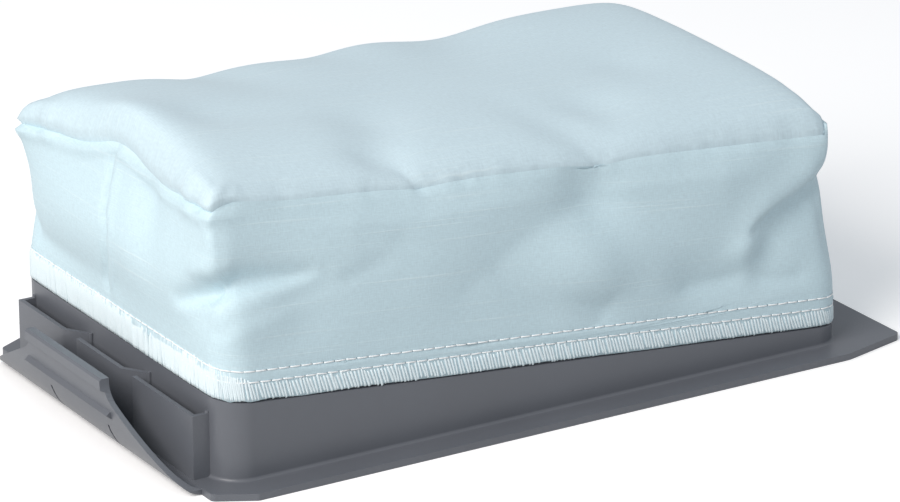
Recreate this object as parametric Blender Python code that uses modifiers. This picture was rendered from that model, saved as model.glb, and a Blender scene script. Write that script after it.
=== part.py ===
"""Vacuum pre-filter: a sewn cloth bag held by its elastic hem on a moulded frame with a spring latch.

Metres, +Z up. The origin is the middle of the wall's plan, on the underside of the flange.
+X runs along the long side to the wide end of the flange. The latch is at the -X end, and the
side with -Y is called the front.
"""

from math import acos, atan2, cos, exp, pi, sin, tan

import bmesh
import bpy
from mathutils import Matrix, Vector

# Gap left between pieces that touch
CLEARANCE = 0.0003

# Flange, the flat plate that the part stands on
FLANGE_THICKNESS = 0.002
LIP = 0.0087  # past the wall, at the front and the back
WIDE_END = 0.0174  # past the wall, at the +X end
LEDGE = 0.0006  # past the guide panels, at the latch end
WIDE_CHAMFER = (0.0217, 0.0055)  # along X and Y
LATCH_CHAMFER = (0.0110, 0.0060)
FLANGE_CORNER = 0.002
FLANGE_EDGE = 0.0007

# Wall, a ring whose top falls away from the latch end
WALL_LENGTH = 0.2024
WALL_DEPTH = 0.119
WALL_CORNER = 0.009
WALL_THICKNESS = 0.002
WALL_HEIGHT_LATCH = 0.0307  # above the flange
WALL_HEIGHT_WIDE = 0.0129
WALL_FOOT = 0.001
NECK_HEIGHT = 0.0064  # the groove under the top edge, where the hem sits flush with the wall
BEAD_REACH = 0.0008  # out from the neck, so that the hem can't slip off
BEAD_HEIGHT = 0.0014

# Guide panels, the thin plates that stand off the wall at the latch end
PANEL_HEIGHT = 0.0182  # above the flange
PANEL_THICKNESS = 0.0013
PANEL_STANDOFF = 0.0049  # from the wall to a panel's outer face
PANEL_SPAN = 0.1024  # over the two end panels
FRONT_PANEL_LENGTH = 0.034
FRONT_WINDOW = 0.0072  # open width between the front and middle panels
MIDDLE_PANEL_LENGTH = 0.0257
BACK_PANEL_LENGTH = 0.0271
WEB_SLANT = 0.0084  # how far a slanted web runs forward as it goes in to the wall
NUB_RADIUS = 0.0007

# Latch, a curved plate that bends up from the flange
LATCH_REACH = 0.0112
LATCH_HEIGHT = 0.0235
LATCH_THICKNESS = 0.0016
LATCH_ROOT = 0.112  # width at the flange
LATCH_TOP = 0.0444  # width at the bead
LATCH_SHOULDER = 0.0184  # height at which the slanted edges end
LATCH_SHOULDER_RADIUS = 0.006
LATCH_FULLNESS = 0.9  # 1 bends the plate as a quarter of an ellipse, less fills out the bend
LATCH_LIFT = 0.0002  # from the flange's underside to the plate's
GRIP_REACH = 0.0013
GRIP_HEIGHT = 0.0031
GRIP_EDGE = 0.0006
RIDGE_LENGTH = 0.0488
RIDGE_LEVEL = 0.0138
RIDGE_REACH = 0.0014
RIDGE_HEIGHT = 0.0034
SLOT_PLACES = (0.0133, -0.0205)
SLOT_WIDTH = 0.001
SLOT_HEIGHT = 0.0092

# Bag, in two panels of cloth
CLOTH = 0.0007
ELASTIC_THICKNESS = 0.0006
ELASTIC_HEIGHT = 0.004
HEM_DROP = 0.0068  # from the top of the wall to the hem's lower edge
HEM_HOLD = 0.0080  # height over which the hem stays flat against the wall
SEAM_LENGTH = 0.1995
SEAM_DEPTH = 0.112
SEAM_SHIFT = -0.0035
SEAM_CORNER = 0.0025
BAG_HEIGHT = 0.0765  # to the tallest corner of the seam, above the flange
CORNER_DROPS = {(-1, -1): 0.0, (-1, 1): 0.0052, (1, -1): 0.0140, (1, 1): 0.0102}  # below it
LATCH_CROWN_LIFT = 0.0050  # the crown standing up behind the latch end's seam
LATCH_SEAM_PEAK = 0.0034  # the end seam held up by the band's upright seam
LATCH_SEAM_DIP = 0.0016
WIDE_SEAM_LIFT = 0.0066
EAR_DROOP = 0.0022  # the rear ear at the latch end hangs lower than its seams
FOLD_DEPTH = 0.0030
FOLD_WIDTH = 0.0060
LATCH_SEAM_PULL = 0.0046  # the end seam drawn in
WIDE_SEAM_PULL = 0.0020
LONG_SEAM_PULL = 0.0012
CROWN_RISE = 0.0100
CORNER_WAISTS = {(-1, -1): 0.0, (-1, 1): 0.0032, (1, -1): 0.0034, (1, 1): 0.0030}  # drawn in half way up
LATCH_END_SWELL = 0.0040  # cloth standing out half way up
WIDE_END_SWELL = 0.0020
LONG_SIDE_SWELL = 0.0016

LENGTH_STEPS = 40
DEPTH_STEPS = 24
BAND_STEPS = 14
EDGE_FOCUS = 0.55  # how much finer the cloth's steps get towards a corner

# Sums of the sizes above
NECK_DEPTH = ELASTIC_THICKNESS + CLOTH + 2 * CLEARANCE
HALF_LENGTH = WALL_LENGTH / 2
HALF_DEPTH = WALL_DEPTH / 2
WALL_SLOPE = (WALL_HEIGHT_LATCH - WALL_HEIGHT_WIDE) / WALL_LENGTH
PANEL_FACE = -HALF_LENGTH - PANEL_STANDOFF
LATCH_EDGE = PANEL_FACE - LEDGE


def wall_top(x):
    """Height of the wall's top edge above the flange's underside."""
    return FLANGE_THICKNESS + WALL_HEIGHT_LATCH - (x + HALF_LENGTH) * WALL_SLOPE


def hem_bottom(x):
    return wall_top(x) - HEM_DROP


# Shared modelling steps


def material(name, colour, roughness, metallic=0.0):
    """A Principled BSDF material with the part's own colour."""
    made = bpy.data.materials.new(name)
    made.use_nodes = True
    shader = made.node_tree.nodes["Principled BSDF"]
    shader.inputs["Base Color"].default_value = (*colour, 1)
    shader.inputs["Roughness"].default_value = roughness
    shader.inputs["Metallic"].default_value = metallic
    made.diffuse_color = (*colour, 1)
    return made


def mesh_object(name, mesh, collection, place=None):
    made = bpy.data.objects.new(name, mesh)
    made.matrix_world = place or Matrix()
    collection.objects.link(made)
    if collection is tools:
        made.hide_render = True
        made.display_type = "WIRE"
    return made


def solid_of(curve, name, collection, place=None):
    """The curve's closed mesh, welded where its caps meet its sides."""
    source = bpy.data.objects.new(name + "_curve", curve)
    bpy.context.scene.collection.objects.link(source)
    graph = bpy.context.evaluated_depsgraph_get()
    mesh = bpy.data.meshes.new_from_object(source.evaluated_get(graph))
    bpy.data.objects.remove(source)
    shape = bmesh.new()
    shape.from_mesh(mesh)
    bmesh.ops.remove_doubles(shape, verts=shape.verts, dist=0.00001)
    bmesh.ops.recalc_face_normals(shape, faces=shape.faces)
    shape.to_mesh(mesh)
    shape.free()
    return mesh_object(name, mesh, collection, place)


def poly_curve(name, points, cyclic=True, dimensions="2D"):
    curve = bpy.data.curves.new(name, "CURVE")
    curve.dimensions = dimensions
    line = curve.splines.new("POLY")
    line.points.add(len(points) - 1)
    for target, point in zip(line.points, points):
        target.co = (point[0], point[1], 0, 1)
    line.use_cyclic_u = cyclic
    return curve


def plate(name, points, thickness, collection, place=None):
    """A flat outline with thickness to both sides of its own plane."""
    curve = poly_curve(name, points)
    curve.fill_mode = "BOTH"
    curve.extrude = thickness / 2
    return solid_of(curve, name, collection, place)


def swept_ring(name, outline, profile, collection):
    """A section carried round an anticlockwise outline. Its x points out and its y up."""
    section = poly_curve(name + "_section", [(-x, y) for x, y in profile])
    guide = bpy.data.objects.new(name + "_section", section)
    bpy.context.scene.collection.objects.link(guide)
    path = poly_curve(name, outline)
    path.bevel_mode = "OBJECT"
    path.bevel_object = guide
    made = solid_of(path, name, collection)
    bpy.data.objects.remove(guide)
    return made


def rounded(corners, steps=6):
    """Points of an outline from its corners, each (x, y, radius), anticlockwise."""
    points = []
    for i, (x, y, radius) in enumerate(corners):
        corner = Vector((x, y))
        if not radius:
            points.append(corner)
            continue
        back = (Vector(corners[i - 1][:2]) - corner).normalized()
        ahead = (Vector(corners[(i + 1) % len(corners)][:2]) - corner).normalized()
        half = back.angle(ahead) / 2
        centre = corner + (back + ahead).normalized() * radius / sin(half)
        spoke = corner + back * radius / tan(half) - centre
        turn = pi - 2 * half
        if back.x * ahead.y - back.y * ahead.x > 0:
            turn = -turn
        for step in range(steps + 1):
            points.append(centre + Matrix.Rotation(turn * step / steps, 2) @ spoke)
    return points


def box_outline(length, depth, radius, steps=6):
    x = length / 2
    y = depth / 2
    return rounded([(-x, -y, radius), (x, -y, radius), (x, y, radius), (-x, y, radius)], steps)


def boolean(target, tool, operation):
    step = target.modifiers.new(f"{operation.title()} {tool.name}", "BOOLEAN")
    step.operation = operation
    step.solver = "EXACT"
    step.object = tool


def bevel(target, width, segments, angle):
    step = target.modifiers.new("Rounded edges", "BEVEL")
    step.width = width
    step.segments = segments
    step.limit_method = "ANGLE"
    step.angle_limit = angle
    step.harden_normals = False


# Frame


def make_flange():
    """The flat plate, with chamfered corners. Its opening ends inside the wall, which closes it."""
    right = HALF_LENGTH + WIDE_END
    side = HALF_DEPTH + LIP
    outline = [
        (LATCH_EDGE, -side + LATCH_CHAMFER[1], FLANGE_CORNER),
        (LATCH_EDGE + LATCH_CHAMFER[0], -side, FLANGE_CORNER),
        (right - WIDE_CHAMFER[0], -side, FLANGE_CORNER * 3),
        (right, -side + WIDE_CHAMFER[1], FLANGE_CORNER),
    ]
    outline += [(x, -y, radius) for x, y, radius in reversed(outline)]
    middle = Matrix.Translation((0, 0, FLANGE_THICKNESS / 2))
    flange = plate("frame", rounded(outline, 4), FLANGE_THICKNESS, parts, middle)
    bevel(flange, FLANGE_EDGE, 2, 0.9)
    hole = box_outline(
        WALL_LENGTH - WALL_THICKNESS, WALL_DEPTH - WALL_THICKNESS, WALL_CORNER - WALL_THICKNESS / 2
    )
    boolean(flange, plate("opening", hole, FLANGE_THICKNESS * 3, tools, middle), "DIFFERENCE")
    return flange


def make_wall():
    """The ring that carries the bag: a foot fillet, a plain wall, a neck for the hem and a bead."""
    nominal = WALL_HEIGHT_LATCH + FLANGE_THICKNESS
    foot = FLANGE_THICKNESS
    profile = [(-WALL_THICKNESS, 0), (WALL_FOOT, 0), (WALL_FOOT, foot)]
    for step in range(1, 4):
        turn = step / 4 * pi / 2
        profile.append((WALL_FOOT * (1 - sin(turn)), foot + WALL_FOOT * (1 - cos(turn))))
    neck_top = nominal - BEAD_HEIGHT
    neck_foot = neck_top - NECK_HEIGHT
    bead = BEAD_REACH - NECK_DEPTH
    profile += [
        (0, foot + WALL_FOOT),
        (0, neck_foot),
        (-NECK_DEPTH, neck_foot + NECK_DEPTH / 2),
        (-NECK_DEPTH, neck_top - BEAD_REACH),
        (bead, neck_top),
        (bead, nominal - BEAD_REACH / 2),
        (bead - BEAD_REACH / 2, nominal),
        (-WALL_THICKNESS - NECK_DEPTH, nominal),
        (-WALL_THICKNESS - NECK_DEPTH, neck_foot - NECK_DEPTH / 2),
        (-WALL_THICKNESS, neck_foot - NECK_DEPTH),
    ]
    outline = box_outline(WALL_LENGTH, WALL_DEPTH, WALL_CORNER)
    wall = swept_ring("wall", outline, profile, tools)
    for vertex in wall.data.vertices:
        if vertex.co.z > foot + WALL_FOOT * 1.5:
            vertex.co.z += wall_top(vertex.co.x) - nominal
    return wall


def make_panel(name, points):
    """A thin standing plate along a plan line, open at its free end."""
    rise = PANEL_HEIGHT + FLANGE_THICKNESS / 2
    curve = poly_curve(name, points, cyclic=False, dimensions="3D")
    curve.extrude = rise / 2
    middle = Matrix.Translation((0, 0, FLANGE_THICKNESS / 2 + rise / 2))
    panel = solid_of(curve, name, tools, middle)
    shell = panel.modifiers.new("Thickness", "SOLIDIFY")
    shell.thickness = PANEL_THICKNESS
    shell.offset = 0
    shell.use_even_offset = True
    return panel


def panel_lines():
    """Plan lines of the three guide panels, front to back, along the middle of their thickness."""
    face = PANEL_FACE + PANEL_THICKNESS / 2
    root = -HALF_LENGTH + WALL_THICKNESS / 2
    end = PANEL_SPAN / 2 - PANEL_THICKNESS / 2
    front_end = -PANEL_SPAN / 2 + FRONT_PANEL_LENGTH
    middle_start = front_end + FRONT_WINDOW
    middle_end = middle_start + MIDDLE_PANEL_LENGTH
    back_start = PANEL_SPAN / 2 - BACK_PANEL_LENGTH
    slant = WEB_SLANT
    return {
        "front_panel": [(root, -end), (face, -end), (face, front_end)],
        "middle_panel": [(root, middle_start - slant), (face, middle_start), (face, middle_end)],
        "back_panel": [(root, back_start - slant), (face, back_start), (face, end), (root, end)],
    }


def make_nub(name, y):
    """The small upright bead where a web meets the wall."""
    shape = bmesh.new()
    rise = PANEL_HEIGHT + FLANGE_THICKNESS / 2 + NUB_RADIUS
    bmesh.ops.create_cone(
        shape, cap_ends=True, segments=10, radius1=NUB_RADIUS, radius2=NUB_RADIUS * 0.8, depth=rise
    )
    mesh = bpy.data.meshes.new(name)
    shape.to_mesh(mesh)
    shape.free()
    place = (-HALF_LENGTH - NUB_RADIUS / 3, y, FLANGE_THICKNESS / 2 + rise / 2)
    return mesh_object(name, mesh, tools, Matrix.Translation(place))


def latch_curve(share):
    """Point and outward normal of the latch's outer face, in X and Z: a filled quarter of an ellipse."""
    across = sin(share * pi / 2)
    up = max(0, cos(share * pi / 2))
    rise = LATCH_HEIGHT - LATCH_LIFT
    out = LATCH_REACH * across**LATCH_FULLNESS
    point = Vector((PANEL_FACE - out, LATCH_LIFT + rise * (1 - up**LATCH_FULLNESS)))
    steepness = 2 - LATCH_FULLNESS
    normal = Vector((-rise * across**steepness, -LATCH_REACH * up**steepness)).normalized()
    return point, normal


def make_latch():
    """The spring plate with its grip, cut to a trapezoid with slots at the bend."""
    steps = 14
    outer = []
    inner = []
    for step in range(steps + 1):
        point, normal = latch_curve(step / steps)
        outer.append(point)
        inner.append(point - normal * LATCH_THICKNESS)
    grip_foot = LATCH_HEIGHT - GRIP_HEIGHT
    below = [point for point in outer if point.y < grip_foot - GRIP_REACH]
    tip = outer[-1].x
    grip = [
        Vector((tip, grip_foot - GRIP_REACH / 2)),
        Vector((tip - GRIP_REACH, grip_foot)),
        Vector((tip - GRIP_REACH, LATCH_HEIGHT - GRIP_EDGE)),
        Vector((tip - GRIP_REACH + GRIP_EDGE, LATCH_HEIGHT)),
    ]
    outline = below + grip + inner[::-1]
    upright = Matrix.Rotation(pi / 2, 4, "X")
    latch = plate("latch", outline, LATCH_ROOT + LATCH_THICKNESS, tools, upright)
    slant = (LATCH_ROOT - LATCH_TOP) / 2 / (LATCH_SHOULDER - FLANGE_THICKNESS)
    foot = LATCH_ROOT / 2 + slant * FLANGE_THICKNESS * 2
    top = LATCH_HEIGHT * 1.5
    trapezoid = [
        (-foot, -FLANGE_THICKNESS, 0),
        (foot, -FLANGE_THICKNESS, 0),
        (LATCH_TOP / 2, LATCH_SHOULDER, LATCH_SHOULDER_RADIUS),
        (LATCH_TOP / 2, top, 0),
        (-LATCH_TOP / 2, top, 0),
        (-LATCH_TOP / 2, LATCH_SHOULDER, LATCH_SHOULDER_RADIUS),
    ]
    across = Matrix.Rotation(pi / 2, 4, "Z") @ Matrix.Rotation(pi / 2, 4, "X")
    place = Matrix.Translation((PANEL_FACE - LATCH_REACH / 2, 0, 0)) @ across
    cut = plate("latch_outline", rounded(trapezoid, 5), LATCH_REACH * 4, tools, place)
    boolean(latch, cut, "INTERSECT")
    boolean(latch, make_ridge(), "UNION")
    for index, y in enumerate(SLOT_PLACES):
        boolean(latch, make_slot(f"slot_{index + 1}", y), "DIFFERENCE")
    return latch


def make_ridge():
    """The catch across the latch's outer face, a bar of triangular section."""
    level = (RIDGE_LEVEL - LATCH_LIFT) / (LATCH_HEIGHT - LATCH_LIFT)
    turn = acos((1 - level) ** (1 / LATCH_FULLNESS))
    point, normal = latch_curve(turn / (pi / 2))
    section = [
        point + normal * RIDGE_REACH,
        point - normal * LATCH_THICKNESS / 2 + Vector((0, RIDGE_HEIGHT * 0.4)),
        point - normal * LATCH_THICKNESS / 2 - Vector((0, RIDGE_HEIGHT * 0.6)),
    ]
    return plate("ridge", section, RIDGE_LENGTH, tools, Matrix.Rotation(pi / 2, 4, "X"))


def make_slot(name, y):
    """A cutter for one of the upright slots through the bend."""
    left = PANEL_FACE - LATCH_REACH * 1.5
    right = LATCH_EDGE - LATCH_THICKNESS / 2
    outline = [(left, -SLOT_HEIGHT), (right, -SLOT_HEIGHT), (right, SLOT_HEIGHT), (left, SLOT_HEIGHT)]
    place = Matrix.Translation((0, y, 0)) @ Matrix.Rotation(pi / 2, 4, "X")
    return plate(name, outline, SLOT_WIDTH, tools, place)


def make_frame(plastic):
    frame = make_flange()
    boolean(frame, make_wall(), "UNION")
    lines = panel_lines()
    for name, points in lines.items():
        boolean(frame, make_panel(name, points), "UNION")
    roots = [points[0][1] for points in lines.values()] + [lines["back_panel"][-1][1]]
    for index, y in enumerate(roots):
        boolean(frame, make_nub(f"nub_{index + 1}", y), "UNION")
    boolean(frame, make_latch(), "UNION")
    frame.data.materials.append(plastic)
    return frame


# Bag


def make_elastic(rubber):
    """The flat band in the hem, which grips the wall's neck under the bead."""
    inside = CLEARANCE - NECK_DEPTH
    outside = inside + ELASTIC_THICKNESS
    profile = [(inside, -ELASTIC_HEIGHT), (outside, -ELASTIC_HEIGHT), (outside, 0), (inside, 0)]
    outline = box_outline(WALL_LENGTH, WALL_DEPTH, WALL_CORNER)
    elastic = swept_ring("hem_elastic", outline, profile, parts)
    for vertex in elastic.data.vertices:
        vertex.co.z += wall_top(vertex.co.x) - BEAD_HEIGHT - BEAD_REACH - CLEARANCE
    elastic.data.materials.append(rubber)


def eased(share):
    share = min(max(share, 0), 1)
    return share * share * (3 - 2 * share)


def focused(share):
    """Moves even shares from -1 to 1 towards the two ends."""
    return (1 - EDGE_FOCUS) * share + EDGE_FOCUS * sin(share * pi / 2)


def crease(place, start, end, width, depth):
    """A fold that is deepest at its start and runs out at its end, in the named widths and depths."""
    run = Vector(end) - Vector(start)
    share = min(max((Vector(place) - Vector(start)).dot(run) / run.length_squared, 0), 1)
    aside = (Vector(place) - Vector(start) - run * share).length
    return depth * FOLD_DEPTH * (1 - 0.75 * share) * exp(-((aside / width / FOLD_WIDTH) ** 2))


def brink(place, line, hollow, swell):
    """A fold with a steep side: hollow on the left of its line and swollen on the right."""
    nearest = None
    for start, end in zip(line, line[1:]):
        run = Vector(end) - Vector(start)
        share = min(max((Vector(place) - Vector(start)).dot(run) / run.length_squared, 0), 1)
        aside = Vector(place) - Vector(start) - run * share
        if nearest is None or aside.length < nearest[0]:
            nearest = (aside.length, run.x * aside.y - run.y * aside.x)
    reach = nearest[0] / FOLD_WIDTH
    steep = min(1, reach * 1.6)
    if nearest[1] > 0:
        return -hollow * FOLD_DEPTH * steep * exp(-(reach**2))
    return swell * FOLD_DEPTH * steep * exp(-(reach**2))


def seam_height(u, v):
    """Height of the crown's seam plane, from the heights of its four ears."""
    height = 0
    for (side, face), drop in CORNER_DROPS.items():
        height += (BAG_HEIGHT - drop) * (1 + side * u) / 2 * (1 + face * v) / 2
    height += LATCH_SEAM_PEAK * ((1 - u) / 2) ** 20 * exp(-(((v - 0.06) / 0.22) ** 2))
    height -= LATCH_SEAM_DIP * ((1 - u) / 2) ** 20 * exp(-(((v + 0.45) / 0.25) ** 2))
    height += WIDE_SEAM_LIFT * ((1 + u) / 2) ** 6 * (1 - v**2) ** (0.55 if v > 0 else 0.25)
    height -= EAR_DROOP * max(0, -u) ** 14 * max(0, v) ** 6
    return FLANGE_THICKNESS + height


def crown_folds(x, y):
    """Dimples and creases of the crown, in the plan: most start at a tight spot of the front seam."""

    def at(u, v):
        return (SEAM_SHIFT + SEAM_LENGTH / 2 * u, SEAM_DEPTH / 2 * v)

    place = (x, y)
    depth = crease(place, at(-0.35, -1), at(-0.42, -0.82), 0.8, -1.2)
    depth += crease(place, at(-0.42, -0.82), at(-0.28, -0.40), 1.3, -0.9)
    depth += crease(place, at(-0.33, -0.40), at(-0.08, 0), 2.0, -0.5)
    depth += crease(place, at(-0.26, -1), at(-0.24, -0.86), 0.7, -0.5)
    depth += crease(place, at(0.23, -1), at(0.17, -0.74), 0.8, -0.8)
    depth += crease(place, at(0.16, -0.80), at(0.10, -0.40), 1.2, -0.5)
    depth += crease(place, at(0.23, -1), at(0.34, -0.80), 0.8, -0.7)
    depth += crease(place, at(0.34, -0.60), at(0.38, -0.42), 1.8, -0.8)
    depth += crease(place, at(0.60, -0.20), at(0.66, 0), 1.6, -0.4)
    depth += crease(place, at(-0.50, 0.93), at(-0.44, 0.30), 2.2, -1.5)
    depth += crease(place, at(-0.78, 0.96), at(-0.66, 0.40), 2.0, -0.4)
    depth += crease(place, at(-0.10, 0.96), at(-0.06, 0.50), 1.8, -1.0)
    depth += crease(place, at(-0.26, 0.96), at(-0.22, 0.50), 2.2, -0.6)
    depth += crease(place, at(0.33, 0.90), at(0.20, 0.30), 2.5, -1.2)
    depth += crease(place, at(-0.74, -0.20), at(-0.46, -0.28), 1.7, -0.5)
    depth += crease(place, at(0.62, 0.60), at(0.80, -0.10), 2.8, 0.2)
    return depth


def crown_point(u, v):
    """A point of the crown for shares -1 to 1 along and across it."""
    x = SEAM_SHIFT + SEAM_LENGTH / 2 * u
    y = SEAM_DEPTH / 2 * v
    inset = SEAM_CORNER * (1 - 2**-0.5)
    ear = max(0, (abs(u) + abs(v) - 2 + 2 * SEAM_CORNER / SEAM_DEPTH) / (2 * SEAM_CORNER / SEAM_DEPTH))
    x -= inset * ear * (u > 0) - inset * ear * (u < 0)
    y -= inset * ear * (v > 0) - inset * ear * (v < 0)
    bow = (1 - v * v) ** 1.5
    x += LATCH_SEAM_PULL * bow * max(0, -u) ** 6 - WIDE_SEAM_PULL * bow * max(0, u) ** 6
    y -= LONG_SEAM_PULL * (1 - u**4) * v**5
    dome = CROWN_RISE * (1 - u**10) ** 0.42 * (1 - abs(v) ** (8 if v > 0 else 4)) ** 0.6
    rounded_end = (1 - u**30) ** 0.5
    dome += LATCH_CROWN_LIFT * ((1 - u) / 2) ** 3 * (1 - v * v) ** 1.5 * rounded_end
    inside = (1 - u**8) * (1 - v**8)
    held = 0.35 + 0.65 * inside
    return Vector((x, y, seam_height(u, v) + dome + crown_folds(x, y) * held))


def band_folds(around, rise):
    """Folds of the side band, as depth outwards, by place round the bag and share of its height.

    The place counts the corners: 0 to 1 along the front from the latch end, 1 to 2 along the wide
    end, 2 to 3 back along the rear and 3 to 4 along the latch end.
    """

    def at(corner, share):
        whole = int(corner)
        past = corner - whole
        sides = (SEAM_LENGTH, SEAM_DEPTH)
        before = sum(sides[side % 2] for side in range(whole))
        return (before + past * sides[whole % 2], share * (BAG_HEIGHT - WALL_HEIGHT_LATCH))

    place = at(around, rise)
    if around > 3.5:
        place = (place[0] - 2 * (SEAM_LENGTH + SEAM_DEPTH), place[1])
    corner_fold = [at(1.060, 0.90), at(0.986, 0.81), at(0.931, 0.71), at(0.889, 0.646), at(0.851, 0.48)]
    depth = brink(place, corner_fold, 1.5, 0.6)
    depth += crease(place, at(0.860, 0.98), at(0.740, 0.70), 1.5, 0.4)
    depth += crease(place, at(-0.050, 0.48), at(0.020, 0.60), 0.9, -0.9)
    depth += crease(place, at(0.015, 0.60), at(0.115, 0.66), 0.9, -1.1)
    depth += crease(place, at(0.020, 0.45), at(0.130, 0.52), 1.2, 0.5)
    depth += crease(place, at(0.130, 0.46), at(0.260, 0.58), 1.2, -0.4)
    depth += crease(place, at(0.585, 0.84), at(0.380, 0.50), 1.4, -0.9)
    depth += crease(place, at(0.600, 0.84), at(0.800, 0.48), 1.4, -0.9)
    depth += crease(place, at(0.590, 0.20), at(0.550, 0.34), 0.8, -0.6)
    depth += crease(place, at(0.590, 0.20), at(0.635, 0.36), 0.8, -0.6)
    depth += crease(place, at(0.515, 0.22), at(0.430, 0.50), 1.0, -0.4)
    depth += crease(place, at(0.740, 0.31), at(0.920, 0.28), 1.0, -0.7)
    depth += crease(place, at(0.590, 0.45), at(0.640, 0.55), 2.4, 0.8)
    depth += crease(place, at(1.300, 0.85), at(1.550, 0.35), 1.3, -1.0)
    depth += crease(place, at(1.850, 0.90), at(1.700, 0.45), 1.2, -1.0)
    depth += crease(place, at(2.250, 0.85), at(2.480, 0.40), 1.3, -0.9)
    depth += crease(place, at(2.820, 0.80), at(2.620, 0.40), 1.3, -0.8)
    if around > 3:
        place = at(around, rise)
        depth += crease(place, at(3.040, 0.36), at(3.100, 0.26), 0.8, -0.9)
        depth += crease(place, at(3.080, 0.24), at(3.460, 0.20), 0.8, -0.7)
        depth += crease(place, at(3.480, 0.98), at(3.500, 0.20), 0.5, -0.5)
        depth += crease(place, at(3.650, 0.95), at(3.700, 0.50), 1.0, -0.9)
    return depth


def hem_point(u, v):
    """Plan place on the hem's outer face, and its outward direction, for shares on the edge."""
    reach = 2 * CLEARANCE + ELASTIC_THICKNESS - NECK_DEPTH + CLOTH
    radius = WALL_CORNER + reach
    straight_x = HALF_LENGTH - WALL_CORNER
    straight_y = HALF_DEPTH - WALL_CORNER
    x = (HALF_LENGTH + reach) * u
    y = (HALF_DEPTH + reach) * v
    past_x = max(0, abs(x) - straight_x) / radius
    past_y = max(0, abs(y) - straight_y) / radius
    turn = (pi / 4) * (1 + past_y - past_x)
    side_x = 1 if u > 0 else -1
    side_y = 1 if v > 0 else -1
    if not past_y:
        return Vector((x, y)), Vector((side_x, 0))
    if not past_x:
        return Vector((x, y)), Vector((0, side_y))
    out = Vector((side_x * cos(turn), side_y * sin(turn)))
    return Vector((side_x * straight_x, side_y * straight_y)) + out * radius, out


def band_point(u, v, rise):
    """A point of the side band, for shares on the crown's edge and a share of the height."""
    foot, out = hem_point(u, v)
    top = crown_point(u, v)
    low = hem_bottom(foot.x)
    high = top.z - CLOTH - CLEARANCE
    held = HEM_HOLD / (high - low)
    above = (rise - held) / (1 - held)
    plan = foot.lerp(top.xy, max(0, above) ** 1.3)
    if v == -1:
        around = (u + 1) / 2
    elif u == 1:
        around = 1 + (v + 1) / 2
    elif v == 1:
        around = 2 + (1 - u) / 2
    else:
        around = 3 + (1 - v) / 2
    end_swell = LATCH_END_SWELL if u < 0 else WIDE_END_SWELL
    swell = end_swell * (1 - v * v) + LONG_SIDE_SWELL * (1 - u * u)
    corner = abs(u * v) ** 6
    waist = CORNER_WAISTS[(1 if u > 0 else -1, 1 if v > 0 else -1)] * corner
    bulge = (swell - waist) * sin(pi * eased(above))
    free = eased(above / 0.15) * (0.45 + 0.55 * eased((1 - above) / 0.12))
    plan += out * (bulge + band_folds(around, rise) * free)
    return Vector((plan.x, plan.y, low + (high - low) * rise))


def edge_shares():
    """Shares of the points round the crown's edge, anticlockwise from the front corner at the latch end."""
    along = [focused(2 * step / LENGTH_STEPS - 1) for step in range(LENGTH_STEPS)]
    across = [focused(2 * step / DEPTH_STEPS - 1) for step in range(DEPTH_STEPS)]
    shares = [(u, -1) for u in along]
    shares += [(1, v) for v in across]
    shares += [(-u, 1) for u in along]
    shares += [(-1, -v) for v in across]
    return shares


def cloth_object(name, shape, fabric):
    """A named sheet of cloth, thickened inwards."""
    bmesh.ops.recalc_face_normals(shape, faces=shape.faces)
    middle = Vector((0, 0, WALL_HEIGHT_LATCH))
    outwards = [(face.calc_center_median() - middle).dot(face.normal) for face in shape.faces]
    if sum(outwards) < 0:
        bmesh.ops.reverse_faces(shape, faces=shape.faces)
    mesh = bpy.data.meshes.new(name)
    shape.to_mesh(mesh)
    shape.free()
    made = mesh_object(name, mesh, parts)
    mesh.shade_smooth()
    mesh.materials.append(fabric)
    shell = made.modifiers.new("Cloth", "SOLIDIFY")
    shell.thickness = CLOTH
    shell.offset = -1
    return made


def make_crown(fabric):
    """The top panel: a grid laid out on the seam's plan, domed, with its dimples pressed in."""
    shape = bmesh.new()
    bmesh.ops.create_grid(shape, x_segments=LENGTH_STEPS, y_segments=DEPTH_STEPS, size=1)
    for vertex in shape.verts:
        vertex.co = crown_point(focused(vertex.co.x), focused(vertex.co.y))
    cloth_object("bag_crown", shape, fabric)


def make_band(fabric):
    """The side panel: an open tube whose foot follows the wall and whose top follows the seam."""
    shares = edge_shares()
    shape = bmesh.new()
    bmesh.ops.create_cone(
        shape, cap_ends=False, segments=len(shares), radius1=1, radius2=1, depth=1
    )
    uprights = [edge for edge in shape.edges if abs(edge.verts[0].co.z - edge.verts[1].co.z) > 0.5]
    bmesh.ops.subdivide_edges(shape, edges=uprights, cuts=BAND_STEPS - 1, use_grid_fill=True)
    for vertex in shape.verts:
        turn = atan2(vertex.co.y, vertex.co.x) / (2 * pi) * len(shares)
        u, v = shares[round(turn) % len(shares)]
        vertex.co = band_point(u, v, vertex.co.z + 0.5)
    cloth_object("bag_side_band", shape, fabric)


for old in list(bpy.data.objects):
    bpy.data.objects.remove(old)
parts = bpy.data.collections.new("vacuum_pre_filter")
tools = bpy.data.collections.new("construction")
bpy.context.scene.collection.children.link(parts)
bpy.context.scene.collection.children.link(tools)

make_frame(material("grey moulded plastic", (0.105, 0.112, 0.128), 0.42))
make_elastic(material("white elastic", (0.80, 0.82, 0.82), 0.8))
cloth = material("pale blue filter cloth", (0.55, 0.73, 0.80), 0.62)
make_crown(cloth)
make_band(cloth)
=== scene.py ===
"""A vacuum pre-filter: a sewn bag of thin blue cloth on a shallow grey frame with a spring latch.

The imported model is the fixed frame. Metres, +Z up. The latch is at the -X end and the front is -Y.
"""

from math import pi

import bmesh
import bpy
import numpy as np
from mathutils import Matrix, Vector, noise
from mathutils.bvhtree import BVHTree


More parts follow.
